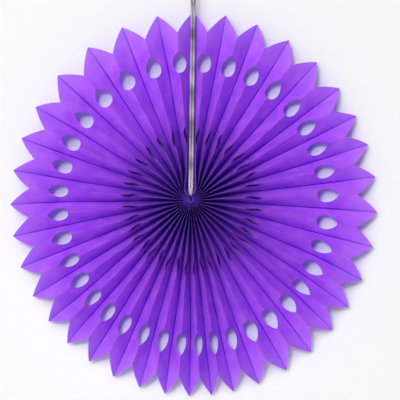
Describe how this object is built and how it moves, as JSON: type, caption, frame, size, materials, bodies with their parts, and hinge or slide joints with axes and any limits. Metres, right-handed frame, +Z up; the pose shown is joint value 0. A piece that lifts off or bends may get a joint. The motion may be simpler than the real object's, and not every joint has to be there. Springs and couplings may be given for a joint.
{
  "type": "paper fan rosette",
  "caption": "Round pleated paper fan with pointed petals, eye and slit cut-outs, a thread-bound core and a doubled hanging cord.",
  "frame": {"origin": "inside top of the hanging cord's loop, where it lies on a hook", "axes": "+Z up, -Y the front of the fan, +X to the right seen from the front; the fan's plane is XZ"},
  "size_m": [0.2441, 0.0146, 0.2829],
  "materials": {
    "violet_paper": "matt, lightly mottled tissue card",
    "binding_thread": "matt twisted thread",
    "silver_cord": "satin cord"
  },
  "bodies": {
    "root": {"pleated_rosette": "violet_paper", "binding_thread": "binding_thread", "loop_knot": "silver_cord", "hanging_loop": "silver_cord"}
  },
  "joints": []
}
